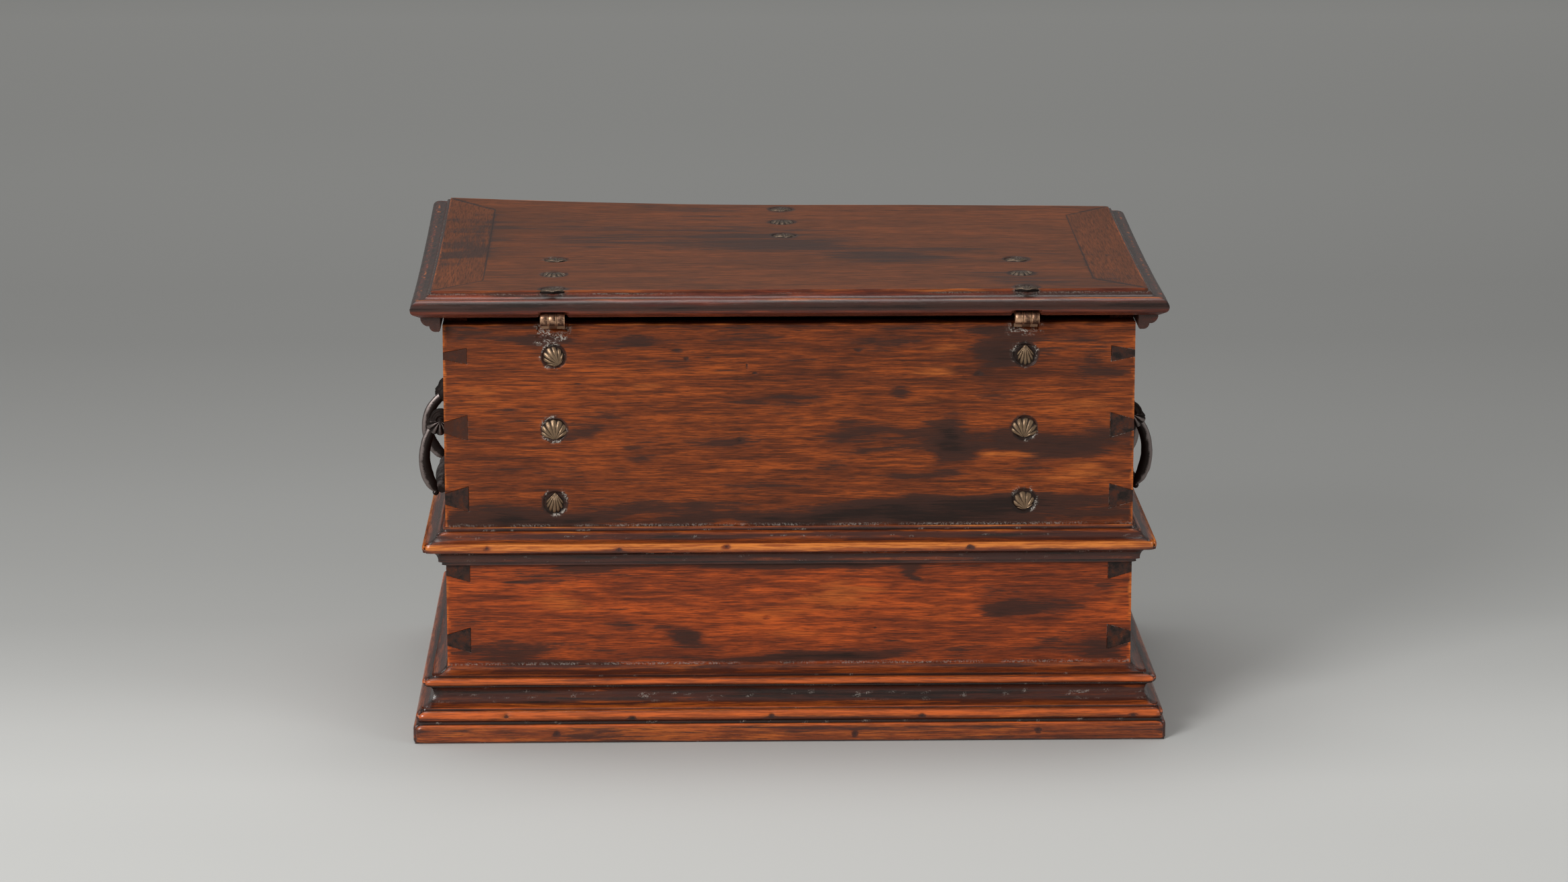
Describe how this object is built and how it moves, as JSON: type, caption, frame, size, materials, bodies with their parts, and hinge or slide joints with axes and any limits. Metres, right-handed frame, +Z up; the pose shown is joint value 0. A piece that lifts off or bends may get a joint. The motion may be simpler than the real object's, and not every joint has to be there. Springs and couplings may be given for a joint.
{
  "type": "document box",
  "caption": "Moulded hardwood document box with a strap-hinged lid, dovetailed boards, a drawer below the waist moulding, a hasp lock and drop handles on its ends.",
  "frame": {"origin": "centre of the footprint on the underside of the base moulding", "axes": "+Z up; +X along the width towards the right end; -Y towards the front, where the hasp and the drawer are; +Y towards the hinged back"},
  "size_m": [0.4836, 0.3096, 0.3008],
  "materials": {
    "carcass_wood": "worn satin polish over dark hardwood",
    "moulding_wood": "worn satin polish, dark in the hollows",
    "lid_wood": "worn and faded polish",
    "inner_wood": "unpolished",
    "nail_bronze": "aged, bright on the ribs",
    "hinge_bronze": "aged and worn",
    "handle_bronze": "dark patina with worn highlights",
    "plate_bronze": "aged",
    "lock_iron": "forged, blackened"
  },
  "bodies": {
    "case": {"back_board": "carcass_wood", "front_board": "carcass_wood", "side_board_left": "carcass_wood", "side_board_right": "carcass_wood", "front_rail": "carcass_wood", "compartment_floor": "inner_wood", "bottom_board": "inner_wood", "base_moulding_back": "moulding_wood", "base_moulding_front": "moulding_wood", "base_moulding_left": "moulding_wood", "base_moulding_right": "moulding_wood", "waist_moulding_back": "moulding_wood", "waist_moulding_front": "moulding_wood", "waist_moulding_left": "moulding_wood", "waist_moulding_right": "moulding_wood", "hinge_leaf_case_left": "hinge_bronze", "hinge_leaf_case_right": "hinge_bronze", "back_nails_left": "nail_bronze", "back_nails_right": "nail_bronze", "lock_plate": "plate_bronze", "lock_case": "lock_iron", "lock_nails": "nail_bronze", "handle_posts_left": "handle_bronze", "handle_posts_right": "handle_bronze"},
    "lid": {"lid_panel": "lid_wood", "lid_clamp_left": "lid_wood", "lid_clamp_right": "lid_wood", "lid_skirt_left": "lid_wood", "lid_skirt_right": "lid_wood", "lid_skirt_front": "lid_wood", "hinge_leaf_lid_left": "hinge_bronze", "hinge_leaf_lid_right": "hinge_bronze", "hinge_pins": "hinge_bronze", "lid_nails_left": "nail_bronze", "lid_nails_right": "nail_bronze", "lid_nails_front": "nail_bronze", "hasp_strap": "hinge_bronze", "hasp_pin": "hinge_bronze"},
    "hasp": {"hasp": "hinge_bronze"},
    "bail_left": {"bail_left": "handle_bronze"},
    "bail_right": {"bail_right": "handle_bronze"},
    "drawer": {"drawer_front": "carcass_wood", "drawer_side_left": "inner_wood", "drawer_side_right": "inner_wood", "drawer_back": "inner_wood", "drawer_bottom": "inner_wood", "drawer_pull_post": "plate_bronze"},
    "drawer_ring": {"drawer_pull_ring": "plate_bronze"},
    "lock_bolt": {"lock_bolt": "lock_iron"}
  },
  "joints": [
    {"name": "lid_hinge", "type": "hinge", "parent": "case", "child": "lid", "pos_m": [0, 0.14489, 0.2748], "axis": [-1, 0, 0], "range_deg": [0, 105]},
    {"name": "hasp_hinge", "type": "hinge", "parent": "lid", "child": "hasp", "pos_m": [0, -0.14499, 0.2831], "axis": [-1, 0, 0], "range_deg": [-14.3, 100]},
    {"name": "bail_left_swing", "type": "hinge", "parent": "case", "child": "bail_left", "pos_m": [-0.228, 0, 0.191], "axis": [0, 1, 0], "range_deg": [0, 95]},
    {"name": "bail_right_swing", "type": "hinge", "parent": "case", "child": "bail_right", "pos_m": [0.228, 0, 0.1885], "axis": [0, -1, 0], "range_deg": [0, 95]},
    {"name": "drawer_slide", "type": "slide", "parent": "case", "child": "drawer", "axis": [0, -1, 0], "range_m": [0, 0.18]},
    {"name": "drawer_ring_pivot", "type": "hinge", "parent": "drawer", "child": "drawer_ring", "pos_m": [0, -0.1415, 0.0868], "axis": [-1, 0, 0], "range_deg": [-10, 90]},
    {"name": "lock_bolt_slide", "type": "slide", "parent": "case", "child": "lock_bolt", "axis": [-1, 0, 0], "range_m": [0, 0.012]}
  ]
}
